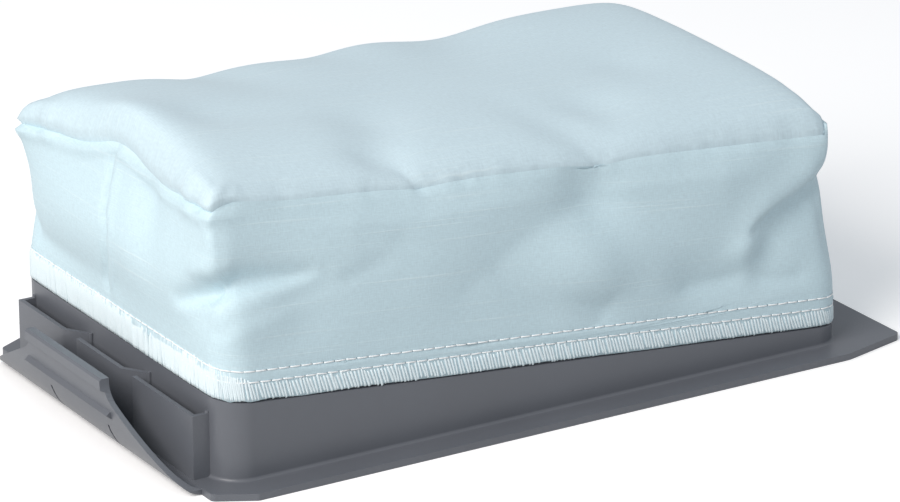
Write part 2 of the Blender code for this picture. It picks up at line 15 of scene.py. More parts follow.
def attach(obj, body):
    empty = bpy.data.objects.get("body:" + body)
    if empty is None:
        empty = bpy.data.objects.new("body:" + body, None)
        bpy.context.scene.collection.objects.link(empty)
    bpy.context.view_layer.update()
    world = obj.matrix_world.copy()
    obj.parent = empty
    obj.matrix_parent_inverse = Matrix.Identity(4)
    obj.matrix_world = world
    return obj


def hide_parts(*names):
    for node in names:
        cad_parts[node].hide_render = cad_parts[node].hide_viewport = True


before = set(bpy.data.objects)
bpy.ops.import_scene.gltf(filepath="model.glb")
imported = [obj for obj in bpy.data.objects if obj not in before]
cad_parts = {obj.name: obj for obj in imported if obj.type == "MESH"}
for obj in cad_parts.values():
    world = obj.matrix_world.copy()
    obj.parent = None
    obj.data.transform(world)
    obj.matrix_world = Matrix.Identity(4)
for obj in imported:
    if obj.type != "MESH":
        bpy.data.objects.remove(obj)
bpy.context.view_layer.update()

# Camera and studio
# A long lens looks down at the latch end and the front. A pale floor runs out of the picture on
# all sides. A large, slightly warm lamp stands at the latch end, and the pale room lights the rest.

scene = bpy.context.scene
scene.view_settings.view_transform = "Standard"

camera = bpy.data.objects.new("camera", bpy.data.cameras.new("camera"))
scene.collection.objects.link(camera)
camera.data.sensor_width = 36
camera.data.lens = 182.56
camera.data.clip_end = 30
camera.location = (-0.63292, -1.03731, 0.47817)
camera.rotation_mode = "QUATERNION"
camera.rotation_quaternion = Vector((0.4917, 0.7992, -0.3458)).to_track_quat("-Z", "Y")
scene.camera = camera


def softbox(name, place, target, width, height, power, tint):
    """A rectangular lamp that faces its target."""
    lamp = bpy.data.lights.new(name, "AREA")
    lamp.shape = "RECTANGLE"
    lamp.size = width
    lamp.size_y = height
    lamp.energy = power
    lamp.color = tint
    holder = bpy.data.objects.new(name, lamp)
    holder.location = place
    aim = Vector(target) - Vector(place)
    holder.rotation_euler = aim.to_track_quat("-Z", "Y").to_euler()
    scene.collection.objects.link(holder)


softbox("latch_side_lamp", (-1.15, -0.42, 0.98), (0, 0, 0.04), 0.9, 0.9, 21.3, (1, 0.95, 0.91))

world = bpy.data.worlds.new("studio")
world.use_nodes = True
world.node_tree.nodes["Background"].inputs["Color"].default_value = (0.95, 1, 1.06, 1)
world.node_tree.nodes["Background"].inputs["Strength"].default_value = 0.53
scene.world = world

bpy.ops.object.select_all(action="DESELECT")
bpy.ops.mesh.primitive_plane_add(size=12, location=(0, 0, 0))
floor = bpy.context.active_object
floor.name = "floor"
floor_white = bpy.data.materials.new("floor, white to the camera")
floor_white.use_nodes = True
floor_tree = floor_white.node_tree
floor_shader = floor_tree.nodes["Principled BSDF"]
ray = floor_tree.nodes.new("ShaderNodeLightPath")
seen = floor_tree.nodes.new("ShaderNodeMath")
seen.operation = "MAXIMUM"
floor_tree.links.new(ray.outputs["Is Camera Ray"], seen.inputs[0])
floor_tree.links.new(ray.outputs["Is Glossy Ray"], seen.inputs[1])
paint = floor_tree.nodes.new("ShaderNodeMix")
paint.data_type = "RGBA"
paint.inputs[6].default_value = (0.6, 0.6, 0.6, 1)
paint.inputs[7].default_value = (1, 1, 1, 1)
floor_tree.links.new(seen.outputs["Value"], paint.inputs["Factor"])
floor_tree.links.new(paint.outputs[2], floor_shader.inputs["Base Color"])
lift = floor_tree.nodes.new("ShaderNodeMath")
lift.operation = "MULTIPLY"
lift.inputs[1].default_value = 0.14
floor_tree.links.new(seen.outputs["Value"], lift.inputs[0])
floor_tree.links.new(lift.outputs["Value"], floor_shader.inputs["Emission Strength"])
floor_shader.inputs["Emission Color"].default_value = (1, 1, 1, 1)
floor_shader.inputs["Roughness"].default_value = 0.9
floor_shader.inputs["Specular IOR Level"].default_value = 0
floor.data.materials.append(floor_white)


# Moulded frame
# One injection moulding in dark blue-grey plastic with a fine satin skin: the flange, the wall
# that carries the bag, three guide panels and the spring latch.


def select_only(piece):
    bpy.ops.object.select_all(action="DESELECT")
    piece.select_set(True)
    bpy.context.view_layer.objects.active = piece


def apply_modifiers(piece):
    select_only(piece)
    for step in list(piece.modifiers):
        bpy.ops.object.modifier_apply(modifier=step.name)


def new_group(name, inputs, outputs):
    """An empty shader group with the named sockets: inputs (name, kind, value), outputs (name, kind)."""
    group = bpy.data.node_groups.new(name, "ShaderNodeTree")
    for label, kind, value in inputs:
        socket = group.interface.new_socket(label, in_out="INPUT", socket_type=kind)
        if value is not None:
            socket.default_value = value
    for label, kind in outputs:
        group.interface.new_socket(label, in_out="OUTPUT", socket_type=kind)
    return group


def node(tree, kind, inputs=(), **settings):
    """A shader node with its settings, and its inputs set or linked by name or number."""
    made = tree.nodes.new(kind)
    for key, value in settings.items():
        setattr(made, key, value)
    for key, value in dict(inputs).items():
        if isinstance(value, bpy.types.NodeSocket):
            tree.links.new(value, made.inputs[key])
        else:
            made.inputs[key].default_value = value
    return made


def new_material(name):
    made = bpy.data.materials.new(name)
    made.use_nodes = True
    return made, made.node_tree, made.node_tree.nodes["Principled BSDF"]


def moulded_skin():
    """Fine grain and the faint cloudiness of handled plastic, as a colour, roughness and height."""
    group = new_group(
        "moulded skin",
        [("Vector", "NodeSocketVector", None), ("Colour", "NodeSocketColor", None)],
        [
            ("Colour", "NodeSocketColor"),
            ("Roughness", "NodeSocketFloat"),
            ("Height", "NodeSocketFloat"),
        ],
    )
    start = group.nodes.new("NodeGroupInput")
    place = start.outputs["Vector"]
    cloud = node(group, "ShaderNodeTexNoise", {"Vector": place, "Scale": 26.0, "Detail": 4.0})
    grain = node(group, "ShaderNodeTexNoise", {"Vector": place, "Scale": 2600.0, "Detail": 2.0})
    shade = node(
        group,
        "ShaderNodeMapRange",
        {"Value": cloud.outputs["Fac"], 1: 0.3, 2: 0.7, 3: 0.94, 4: 1.06},
    )
    tinted = node(
        group,
        "ShaderNodeVectorMath",
        {0: start.outputs["Colour"], "Scale": shade.outputs["Result"]},
        operation="SCALE",
    )
    rough = node(
        group,
        "ShaderNodeMapRange",
        {"Value": cloud.outputs["Fac"], 1: 0.3, 2: 0.7, 3: 0.36, 4: 0.46},
    )
    end = group.nodes.new("NodeGroupOutput")
    group.links.new(tinted.outputs["Vector"], end.inputs["Colour"])
    group.links.new(rough.outputs["Result"], end.inputs["Roughness"])
    group.links.new(grain.outputs["Fac"], end.inputs["Height"])
    return group


grey_plastic, tree, shader = new_material("grey moulded plastic, satin")
place = node(tree, "ShaderNodeTexCoord")
skin = node(tree, "ShaderNodeGroup", node_tree=moulded_skin())
tree.links.new(place.outputs["Object"], skin.inputs["Vector"])
skin.inputs["Colour"].default_value = (0.122, 0.131, 0.15, 1)
grain_bump = node(
    tree,
    "ShaderNodeBump",
    {"Strength": 0.25, "Distance": 0.00005, "Height": skin.outputs["Height"]},
)
tree.links.new(skin.outputs["Colour"], shader.inputs["Base Color"])
tree.links.new(skin.outputs["Roughness"], shader.inputs["Roughness"])
tree.links.new(grain_bump.outputs["Normal"], shader.inputs["Normal"])

moulding = bpy.data.objects.new("frame_moulding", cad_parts["frame"].data.copy())
scene.collection.objects.link(moulding)
select_only(moulding)
bpy.ops.object.mode_set(mode="EDIT")
bpy.ops.mesh.select_all(action="SELECT")
bpy.ops.mesh.remove_doubles(threshold=0.00001)
bpy.ops.mesh.dissolve_limited(angle_limit=0.01)
bpy.ops.object.mode_set(mode="OBJECT")
# This bevel was measured to move the edges by 0.006 mm at most, far less than its width, probably
# because of the clamp. So the edges are in effect sharp.
broken_edges = moulding.modifiers.new("Broken edges", "BEVEL")
broken_edges.width = 0.00025
broken_edges.segments = 2
broken_edges.limit_method = "ANGLE"
broken_edges.angle_limit = 0.6
broken_edges.use_clamp_overlap = True
apply_modifiers(moulding)
bpy.ops.object.shade_smooth_by_angle(angle=0.7)
flat_faces = moulding.modifiers.new("Flat faces", "WEIGHTED_NORMAL")
flat_faces.keep_sharp = True
apply_modifiers(moulding)
moulding.data.materials.clear()
moulding.data.materials.append(grey_plastic)
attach(moulding, "root")
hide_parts("frame")


# Elastic
# A flat woven band inside the hem that grips the frame's neck. The photograph doesn't show it. It
# is a guess from the hem's flat lie and its two rows of stitches.

white_elastic, tree, shader = new_material("white woven elastic")
place = node(tree, "ShaderNodeTexCoord")
ribs = node(
    tree,
    "ShaderNodeTexWave",
    {"Vector": place.outputs["Object"], "Scale": 320.0, "Distortion": 0.6},
    bands_direction="Z",
)
tone = node(tree, "ShaderNodeMapRange", {"Value": ribs.outputs["Fac"], 3: 0.74, 4: 0.86})
rib_bump = node(
    tree,
    "ShaderNodeBump",
    {"Strength": 0.6, "Distance": 0.0002, "Height": ribs.outputs["Fac"]},
)
tree.links.new(tone.outputs["Result"], shader.inputs["Base Color"])
tree.links.new(rib_bump.outputs["Normal"], shader.inputs["Normal"])
shader.inputs["Roughness"].default_value = 0.85
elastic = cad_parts["hem_elastic"]
elastic.data.materials.clear()
elastic.data.materials.append(white_elastic)


# Crown of the bag
# The top panel, a rectangle of thin, tightly woven polyester cloth, sewn to the side band all
# round. The seam is tight in places, and dimples run in from there.

MM = 0.001
STRAIGHT_X = 92.2 * MM
STRAIGHT_Y = 50.5 * MM
CORNER = 9 * MM
QUARTER = CORNER * pi / 2
ROUND = 4 * (STRAIGHT_X + STRAIGHT_Y + QUARTER)
CLOTH_THICKNESS = 0.4 * MM


def place_round(points):
    """Distance round the bag from the middle of the front, growing towards +X, and the way out."""
    core = np.clip(points[:, :2], (-STRAIGHT_X, -STRAIGHT_Y), (STRAIGHT_X, STRAIGHT_Y))
    past = np.abs(points[:, :2]) - (STRAIGHT_X, STRAIGHT_Y)
    on_end = past[:, 0] > past[:, 1]
    signs = np.where(points[:, :2] < 0, -1, 1)
    square = np.column_stack([signs[:, 0] * on_end, signs[:, 1] * ~on_end])
    gap = np.where((past <= 0).all(axis=1)[:, None], square, points[:, :2] - core)
    out = gap / np.hypot(gap[:, 0], gap[:, 1])[:, None]
    turn = np.arctan2(out[:, 0], -out[:, 1]) % (2 * pi)
    side = np.floor(turn / (pi / 2) + 1e-6).astype(int) % 4
    into_corner = turn - side * pi / 2
    into_corner = np.where((into_corner < 0) | (into_corner > pi), 0, into_corner)
    end_middle = STRAIGHT_X + QUARTER + STRAIGHT_Y
    middles = np.array([0, end_middle, ROUND / 2, ROUND / 2 + end_middle])
    along = np.where(side % 2 == 0, core[:, 0], core[:, 1]) * np.where(side < 2, 1, -1)
    distance = middles[side] + along + into_corner * CORNER
    distance = np.where(distance > ROUND / 2, distance - ROUND, distance)
    return distance, np.column_stack([out, np.zeros(len(out))])


def outer_skin(cloth_node, name, is_outer):
    """The outer side of a cloth solid, as a sheet of quads in a piece of its own."""
    shape = bmesh.new()
    shape.from_mesh(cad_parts[cloth_node].data)
    bmesh.ops.remove_doubles(shape, verts=shape.verts, dist=0.00001)
    middles = np.array([face.calc_center_median() for face in shape.faces])
    normals = np.array([face.normal for face in shape.faces])
    kept = is_outer(middles, normals)
    spare = [face for face, keep in zip(shape.faces, kept) if not keep]
    bmesh.ops.delete(shape, geom=spare, context="FACES")
    bmesh.ops.join_triangles(
        shape, faces=shape.faces, angle_face_threshold=1.2, angle_shape_threshold=1.6
    )
    mesh = bpy.data.meshes.new(name)
    shape.to_mesh(mesh)
    shape.free()
    piece = bpy.data.objects.new(name, mesh)
    scene.collection.objects.link(piece)
    finer = piece.modifiers.new("Finer", "SUBSURF")
    finer.levels = finer.render_levels = 2
    finer.boundary_smooth = "PRESERVE_CORNERS"
    apply_modifiers(piece)
    return piece


def read_vectors(piece, kind):
    values = np.empty(len(piece.data.vertices) * 3)
    piece.data.vertices.foreach_get(kind, values)
    return values.reshape(-1, 3)


def write_points(piece, points):
    piece.data.vertices.foreach_set("co", points.ravel())
    piece.data.update()


def near_line(flat, line):
    """Distance of flat points to a line given in millimetres, the side it is on, the share passed."""
    line = np.array(line) * MM
    steps = np.hypot(*np.diff(line, axis=0).T)
    before = np.concatenate([[0], np.cumsum(steps)])
    nearest = np.full(len(flat), np.inf)
    side = np.zeros(len(flat))
    share = np.zeros(len(flat))
    for i, length in enumerate(steps):
        run = line[i + 1] - line[i]
        past = np.clip((flat - line[i]) @ run / length**2, 0, 1)
        gap = flat - line[i] - past[:, None] * run
        distance = np.hypot(gap[:, 0], gap[:, 1])
        nearer = distance < nearest
        nearest[nearer] = distance[nearer]
        cross = run[0] * gap[:, 1] - run[1] * gap[:, 0]
        side[nearer] = np.sign(cross[nearer])
        share[nearer] = ((before[i] + past * length) / before[-1])[nearer]
    return nearest, side, share


def crease(flat, line, width, depth, fade=0.75):
    """A soft fold along a line, deepest at its start. Sizes in millimetres, hollows below zero."""
    distance, _, share = near_line(flat, line)
    return depth * MM * (1 - fade * share) * np.exp(-((distance / (width * MM)) ** 2))


def wander(distance, wavelength, seed):
    """Smooth noise from -1 to 1 along a distance."""
    scale = 1 / (wavelength * MM)
    return np.array([noise.noise(Vector((d * scale, seed, 0.5))) for d in distance]) * 1.8


LATCH_STRETCH_START = -91 * MM
LATCH_STRETCH = 8 * MM


def by_latch(points):
    """Rises from 0 to 1 over the last stretch before the latch end."""
    return np.clip((LATCH_STRETCH_START - points[:, 0]) / LATCH_STRETCH, 0, 1)


def keep_upward(middles, normals):
    return normals[:, 2] > 0.15


crown = outer_skin("bag_crown", "crown_cloth", keep_upward)
points = read_vectors(crown, "co")
flat = points[:, :2]
dimple = [(-37.6, -55.5), (-38.9, -54), (-40.9, -51.6), (-42.4, -47)]
folds = crease(flat, dimple, 1.4, -1.1, 1)
folds += crease(flat, [(-36.4, -55.5), (-32.9, -54.4), (-28, -53)], 1.6, -0.5, 1)
folds += crease(flat, [(-23, -55.7), (-26.7, -53.5)], 1.4, -0.8)
folds += crease(flat, [(-53.5, -55.6), (-53.1, -53.9)], 1.4, -0.6)
folds += crease(flat, [(20, -55.5), (16.4, -52.2), (15.8, -49.2)], 1.5, -0.8, 1)
folds += crease(flat, [(20.5, -55.5), (22.5, -53.6), (25.3, -52.7)], 1.6, -0.5, 1)
distance, _ = place_round(points)
inset = np.minimum(99.7 * MM - np.abs(points[:, 0] + 3.5 * MM), 56 * MM - np.abs(points[:, 1]))
pucker_depth = (0.22 + 0.4 * by_latch(points)) * MM
by_seam = np.exp(-((inset / (3.5 * MM)) ** 2))
puckers = pucker_depth * wander(distance, 6, 4) * by_seam
puckers += 1.1 * MM * by_latch(points) * np.exp(-(((inset - 3 * MM) / (2 * MM)) ** 2))
points += read_vectors(crown, "normal") * (folds + puckers)[:, None]
from_latch = np.clip(points[:, 0] + 102.5 * MM, 0, None) / (6 * MM)
near_front = np.clip((25 * MM - points[:, 1]) / (30 * MM), 0, 1)
points[:, 2] += 2.2 * MM * near_front * from_latch * np.exp(1 - from_latch)
write_points(crown, points)


def open_edge(shape, above):
    return [edge for edge in shape.edges if edge.is_boundary and edge.verts[0].co.z > above]


shape = bmesh.new()
shape.from_mesh(crown.data)
rim = np.array([vertex.co for vertex in {v for edge in open_edge(shape, 0) for v in edge.verts}])
shape.free()
rim_distance, _ = place_round(rim)
order = np.argsort(rim_distance)
rim = rim[order]
rim_distance = rim_distance[order]


def seam_point(distance):
    """Point of the crown's sewn edge at a distance round the bag."""
    return np.column_stack([np.interp(distance, rim_distance, rim[:, i], period=ROUND) for i in range(3)])


def draw_in(piece, above, pull, allowance):
    """Brings an open edge of the cloth to the seam and turns its allowance in, as (inwards, upwards)."""
    shape = bmesh.new()
    shape.from_mesh(piece.data)
    edges = open_edge(shape, above)
    rim = list({vertex for edge in edges for vertex in edge.verts})
    for edge in edges:
        edge.smooth = False
    grown = bmesh.ops.extrude_edge_only(shape, edges=edges)["geom"]
    turned_in = [item for item in grown if isinstance(item, bmesh.types.BMVert)]
    for vertices, (inwards, upwards) in ((rim, pull), (turned_in, allowance)):
        distance, out = place_round(np.array([vertex.co for vertex in vertices]))
        targets = seam_point(distance)
        tight = 1 + 3.2 * by_latch(targets)
        targets -= out * (inwards * tight)[:, None] * MM
        targets[:, 2] += upwards * tight * MM
        for vertex, target in zip(vertices, targets):
            vertex.co = target
    bmesh.ops.recalc_face_normals(shape, faces=shape.faces)
    shape.to_mesh(piece.data)
    shape.free()


def woven_cloth():
    """A fine plain weave with slubs along one way, as a colour and a height."""
    group = new_group(
        "fine plain weave",
        [
            ("UV", "NodeSocketVector", None),
            ("Colour", "NodeSocketColor", None),
            ("Slub colour", "NodeSocketColor", None),
            ("Thread pitch", "NodeSocketFloat", 0.0004),
        ],
        [("Colour", "NodeSocketColor"), ("Height", "NodeSocketFloat")],
    )
    start = group.nodes.new("NodeGroupInput")
    turns = node(
        group,
        "ShaderNodeMath",
        {0: 2 * pi, 1: start.outputs["Thread pitch"]},
        operation="DIVIDE",
    )
    phase = node(
        group,
        "ShaderNodeVectorMath",
        {0: start.outputs["UV"], "Scale": turns.outputs["Value"]},
        operation="SCALE",
    )
    split = node(group, "ShaderNodeSeparateXYZ", {"Vector": phase.outputs["Vector"]})
    warp = node(group, "ShaderNodeMath", {0: split.outputs["X"]}, operation="SINE")
    weft = node(group, "ShaderNodeMath", {0: split.outputs["Y"]}, operation="SINE")
    weave = node(
        group,
        "ShaderNodeMath",
        {0: warp.outputs["Value"], 1: weft.outputs["Value"]},
        operation="MULTIPLY",
    )
    stretched = node(
        group,
        "ShaderNodeVectorMath",
        {0: start.outputs["UV"], 1: (16.0, 1100.0, 1.0)},
        operation="MULTIPLY",
    )
    slubs = node(
        group,
        "ShaderNodeTexNoise",
        {"Vector": stretched.outputs["Vector"], "Scale": 1.0, "Detail": 2.0, "Roughness": 0.5},
    )
    picked = node(group, "ShaderNodeMapRange", {"Value": slubs.outputs["Fac"], 1: 0.60, 2: 0.76})
    tinted = node(
        group,
        "ShaderNodeMix",
        {"Factor": picked.outputs["Result"], 6: start.outputs["Colour"], 7: start.outputs["Slub colour"]},
        data_type="RGBA",
    )
    yarns = []
    for stretch in ((500.0, 2900.0, 1.0), (2900.0, 500.0, 1.0)):
        run = node(
            group,
            "ShaderNodeVectorMath",
            {0: start.outputs["UV"], 1: stretch},
            operation="MULTIPLY",
        )
        yarns.append(node(group, "ShaderNodeTexNoise", {"Vector": run.outputs["Vector"], "Scale": 1.0}))
    crossed = node(
        group,
        "ShaderNodeMath",
        {0: yarns[0].outputs["Fac"], 1: yarns[1].outputs["Fac"]},
        operation="ADD",
    )
    tone = node(
        group,
        "ShaderNodeMapRange",
        {"Value": crossed.outputs["Value"], 1: 0.7, 2: 1.3, 3: 0.94, 4: 1.06},
    )
    toned = node(
        group,
        "ShaderNodeVectorMath",
        {0: tinted.outputs[2], "Scale": tone.outputs["Result"]},
        operation="SCALE",
    )
    raised = node(
        group,
        "ShaderNodeMath",
        {0: weave.outputs["Value"], 1: 0.35, 2: picked.outputs["Result"]},
        operation="MULTIPLY_ADD",
    )
    end = group.nodes.new("NodeGroupOutput")
    group.links.new(toned.outputs["Vector"], end.inputs["Colour"])
    group.links.new(raised.outputs["Value"], end.inputs["Height"])
    return group


weave_group = woven_cloth()


def filter_cloth(name, colour, slub_colour):
    """Pale blue polyester cloth with a slight gloss and its fine weave."""
    made, tree, shader = new_material(name)
    place = node(tree, "ShaderNodeUVMap", uv_map="Cloth")
    weave = node(tree, "ShaderNodeGroup", node_tree=weave_group)
    tree.links.new(place.outputs["UV"], weave.inputs["UV"])
    weave.inputs["Colour"].default_value = colour
    weave.inputs["Slub colour"].default_value = slub_colour
    bump = node(
        tree,
        "ShaderNodeBump",
        {"Strength": 0.5, "Distance": 0.00006, "Height": weave.outputs["Height"]},
    )
    tree.links.new(weave.outputs["Colour"], shader.inputs["Base Color"])
    tree.links.new(bump.outputs["Normal"], shader.inputs["Normal"])
    shader.inputs["Roughness"].default_value = 0.62
    shader.inputs["Sheen Weight"].default_value = 0.1
    shader.inputs["Sheen Roughness"].default_value = 0.5
    return made


def finish_cloth(piece, cloth, across, up):
    """Gives the sheet its thickness, material and a UV map in metres along two measures of its points."""
    piece.data.shade_smooth()
    uv = piece.data.uv_layers.new(name="Cloth")
    corners = np.empty(len(piece.data.loops), dtype=np.int32)
    piece.data.loops.foreach_get("vertex_index", corners)
    us = across[corners]
    starts = np.empty(len(piece.data.polygons), dtype=np.int32)
    piece.data.polygons.foreach_get("loop_start", starts)
    highest = np.maximum.reduceat(us, starts)
    sizes = np.diff(np.append(starts, len(us)))
    us = np.where(np.repeat(highest, sizes) - us > ROUND / 2, us + ROUND, us)
    uv.data.foreach_set("uv", np.column_stack([us, up[corners]]).ravel())
    shell = piece.modifiers.new("Thickness", "SOLIDIFY")
    shell.thickness = CLOTH_THICKNESS
    shell.offset = -1
    apply_modifiers(piece)
    piece.data.materials.append(cloth)
    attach(piece, "root")


draw_in(crown, 0, (0.42, -0.25), (0.82, -0.28))
crown_material = filter_cloth("pale blue crown cloth", (0.555, 0.69, 0.75, 1), (0.615, 0.74, 0.785, 1))
points = read_vectors(crown, "co")
finish_cloth(crown, crown_material, points[:, 0], points[:, 1])
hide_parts("bag_crown")


# Side band of the bag
# One strip of the same cloth that runs round the wall, closed by an upright seam at the latch end.
# Its foot is a hem over the elastic, and its top edge is sewn to the crown.

HEM_SLOPE = 17.8 / 202.4
HEM_WIDTH = 8 * MM


def hem_height(x):
    """Height of the hem's lower edge, which falls towards the wide end as the wall does."""
    return 25.9 * MM - (x + 101.2 * MM) * HEM_SLOPE


def brink(flat, line, edge, hollow, hollow_reach, swell, swell_reach):
    """A fold with a sharp edge: hollow to the left of its line and swollen to the right."""
    distance, side, share = near_line(flat, line)
    sharp = np.tanh(distance / (edge * MM))
    ends = np.clip(np.minimum(share * 6, (1 - share) * 3), 0, 1) ** 0.5
    low = hollow * MM * sharp * np.exp(-((distance / (hollow_reach * MM)) ** 2))
    high = swell * MM * sharp * np.exp(-((distance / (swell_reach * MM)) ** 2))
    return np.where(side > 0, -low, high) * ends


def keep_outward(middles, normals):
    return (normals * place_round(middles)[1]).sum(axis=1) > 0.3


side_band = outer_skin("bag_side_band", "side_band_cloth", keep_outward)
points = read_vectors(side_band, "co")
distance, out = place_round(points)
flat = np.column_stack([distance, points[:, 2]])

corner_fold = [(93.5, 53.6), (91.1, 52.2), (87.2, 50.0), (82.5, 48.2), (77.7, 46.8), (74.1, 45.4)]
corner_fold += [(70.8, 43.9), (68.5, 42.1), (67.3, 40.5)]
folds = brink(flat, corner_fold, 0.6, 1.7, 3.4, 0.7, 5.0)
folds += crease(flat, [(68, 36.5), (68, 30)], 4.5, 1.3, 0)
latch_corner_fold = [(-105.3, 54.2), (-97.3, 57), (-89.3, 57.2), (-79.9, 56.2), (-70, 55.6)]
folds += crease(flat, latch_corner_fold, 3.4, -2.1, 0.7)
fold_foot = [(-120, 45.8), (-112, 48.8), (-105.3, 51.2), (-97.3, 53.8), (-89.3, 54.5), (-80, 54.6)]
fold_foot += [(-71, 55.2)]
folds += brink(flat, fold_foot, 0.8, 1.5, 4.2, 0.5, 3.5)
folds += crease(flat, [(-105, 54.4), (-111, 51.8), (-120, 48.2)], 2.8, -1.6, 0.7)
folds += crease(flat, [(-100, 61.5), (-105, 61), (-110, 59.5)], 3.2, 0.9, 0.3)
folds += crease(flat, [(-104, 75.7), (-101.4, 71.2), (-100.7, 67.3)], 1.8, -0.7)
latch_fold = [(-101.4, 44), (-96.6, 47.7), (-77.4, 50.7), (-63.3, 52.7), (-51.3, 55.7)]
folds += crease(flat, latch_fold, 2.6, -0.5, 0.4)
folds += crease(flat, [(14.5, 59.2), (-1.1, 55.2), (-14.9, 48.5), (-25, 42.7)], 3.0, -0.3, 0.4)
folds += crease(flat, [(20.5, 59.1), (35, 53.5), (47.5, 45.1), (57.7, 37.9)], 3.0, -0.4, 0.4)
folds += crease(flat, [(46.7, 28.6), (65.9, 28.5), (78.2, 24.9), (85.2, 24.9)], 2.2, -0.5, 0.2)
folds += crease(flat, [(18.2, 24.8), (16.3, 29), (7.5, 33.9)], 1.5, -0.6)
folds += crease(flat, [(18.2, 24.8), (20.1, 29.5), (23.2, 32.2)], 1.5, -0.6)
folds += crease(flat, [(-15.3, 45), (-7.5, 37.2), (2.2, 28.6)], 2.4, -0.3, 0.3)
folds += crease(flat, [(-46, 60.6), (-38.5, 57.5), (-30.7, 54.4)], 2.4, -0.3)
folds += 0.15 * MM * wander(distance, 23, 2)
latch_middle = -(STRAIGHT_X + QUARTER + STRAIGHT_Y) / MM
latch_seam = [(1.0, 79.1), (4.7, 75.3), (5.1, 71.1), (4.4, 65.6), (3.0, 59.7), (1.3, 56.3), (3.0, 46.5)]
latch_seam += [(6.0, 39.8), (5.1, 35.9)]
upright_seam = [(latch_middle - y, z) for y, z in latch_seam]
folds += crease(flat, upright_seam, 1.0, -1.6, 0)
folds += crease(flat, [(along + 2.6, z) for along, z in upright_seam], 1.8, 0.7, 0)
below_seam = seam_point(distance)[:, 2] - points[:, 2]
on_front = np.clip((94 * MM - np.abs(distance)) / (34 * MM), 0, 1) ** 2
swell_starts = np.clip(below_seam / (8 * MM), 0, 1)
swell_ends = np.exp(-((below_seam / (19 * MM)) ** 2))
folds += 1.8 * MM * on_front * swell_starts * swell_ends

hem_share = (points[:, 2] - hem_height(points[:, 0])) / HEM_WIDTH
above_hem = np.clip((hem_share - 1) / 0.9, 0, 1)
above_hem = above_hem * above_hem * (3 - 2 * above_hem)
stitch_tug = np.exp(-(((hem_share - 0.99) / 0.10) ** 2)) + np.exp(-(((hem_share - 0.60) / 0.10) ** 2))
hem_roll = 0.25 * np.exp(-(((hem_share - 0.8) / 0.13) ** 2)) - 0.18 * stitch_tug
pucker_depth = (0.1 + 0.5 * by_latch(points)) * MM
by_seam = np.exp(-((below_seam / (4 * MM)) ** 2))
puckers = pucker_depth * wander(distance, 6, 4) * by_seam
puckers += 0.8 * MM * by_latch(points) * np.exp(-(((below_seam - 3 * MM) / (2 * MM)) ** 2))
corner_gap = (distance - STRAIGHT_X - QUARTER / 2) / (8 * MM)
ear = np.exp(-(corner_gap**2) - (below_seam / (5 * MM)) ** 2)
points[:, 2] += 0.9 * MM * ear
puckers += 0.5 * MM * ear
points += out * (folds * above_hem + hem_roll * MM + puckers)[:, None]
at_foot = np.clip(1 - hem_share / 0.2, 0, 1)
points += out * (0.3 * MM * at_foot)[:, None]
points[:, 2] += at_foot * (-0.25 + 0.35 * wander(distance, 4, 1) + 0.25 * wander(distance, 1.7, 3)) * MM
write_points(side_band, points)
draw_in(side_band, 50 * MM, (0.42, -0.25), (0.82, -0.38))

STITCHES = 182
STITCH_ROWS = ((7.9 * MM, 0.0), (4.8 * MM, 0.37))


def needle_hole_shade():
    """Painted shade of small needle holes along the two rows of stitches, as a mask, from how far round and
    how high a point is.
    """
    group = new_group(
        "needle holes",
        [
            ("UV", "NodeSocketVector", None),
            ("Row", "NodeSocketFloat", 0.0),
            ("Shift", "NodeSocketFloat", 0.0),
        ],
        [("Mask", "NodeSocketFloat")],
    )
    start = group.nodes.new("NodeGroupInput")
    spot = node(group, "ShaderNodeSeparateXYZ", {"Vector": start.outputs["UV"]})
    turns = node(
        group,
        "ShaderNodeMath",
        {0: spot.outputs["X"], 1: STITCHES / ROUND, 2: start.outputs["Shift"]},
        operation="MULTIPLY_ADD",
    )
    part_way = node(group, "ShaderNodeMath", {0: turns.outputs["Value"]}, operation="FRACT")
    along = node(
        group,
        "ShaderNodeMath",
        {0: part_way.outputs["Value"], 1: ROUND / STITCHES, 2: -0.5 * ROUND / STITCHES},
        operation="MULTIPLY_ADD",
    )
    rise = node(
        group,
        "ShaderNodeMath",
        {0: spot.outputs["Y"], 1: start.outputs["Row"]},
        operation="SUBTRACT",
    )
    gap = node(
        group,
        "ShaderNodeCombineXYZ",
        {"X": along.outputs["Value"], "Y": rise.outputs["Value"]},
    )
    away = node(group, "ShaderNodeVectorMath", {0: gap.outputs["Vector"]}, operation="LENGTH")
    hole = node(
        group,
        "ShaderNodeMapRange",
        {"Value": away.outputs["Value"], 1: 0.12 * MM, 2: 0.36 * MM, 3: 1.0, 4: 0.0},
    )
    end = group.nodes.new("NodeGroupOutput")
    group.links.new(hole.outputs["Result"], end.inputs["Mask"])
    return group


band_cloth = filter_cloth("pale blue band cloth", (0.55, 0.705, 0.765, 1), (0.61, 0.75, 0.8, 1))
tree = band_cloth.node_tree
shader = tree.nodes["Principled BSDF"]
place = node(tree, "ShaderNodeUVMap", uv_map="Cloth")
holes = needle_hole_shade()
# The needle holes are not cut in the cloth. Each one is a dark spot of painted shade mixed into the band
# cloth's colour.
for row, shift in STITCH_ROWS:
    hole_shade_mask = node(tree, "ShaderNodeGroup", {"UV": place.outputs["UV"]}, node_tree=holes)
    hole_shade_mask.inputs["Row"].default_value = row
    hole_shade_mask.inputs["Shift"].default_value = -shift
    before = shader.inputs["Base Color"].links[0].from_socket
    darker = node(
        tree,
        "ShaderNodeMix",
        {"Factor": hole_shade_mask.outputs["Mask"], 6: before, 7: (0.16, 0.25, 0.29, 1)},
        data_type="RGBA",
    )
    tree.links.new(darker.outputs[2], shader.inputs["Base Color"])
points = read_vectors(side_band, "co")
distance, _ = place_round(points)
finish_cloth(side_band, band_cloth, distance, points[:, 2] - hem_height(points[:, 0]))
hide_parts("bag_side_band")


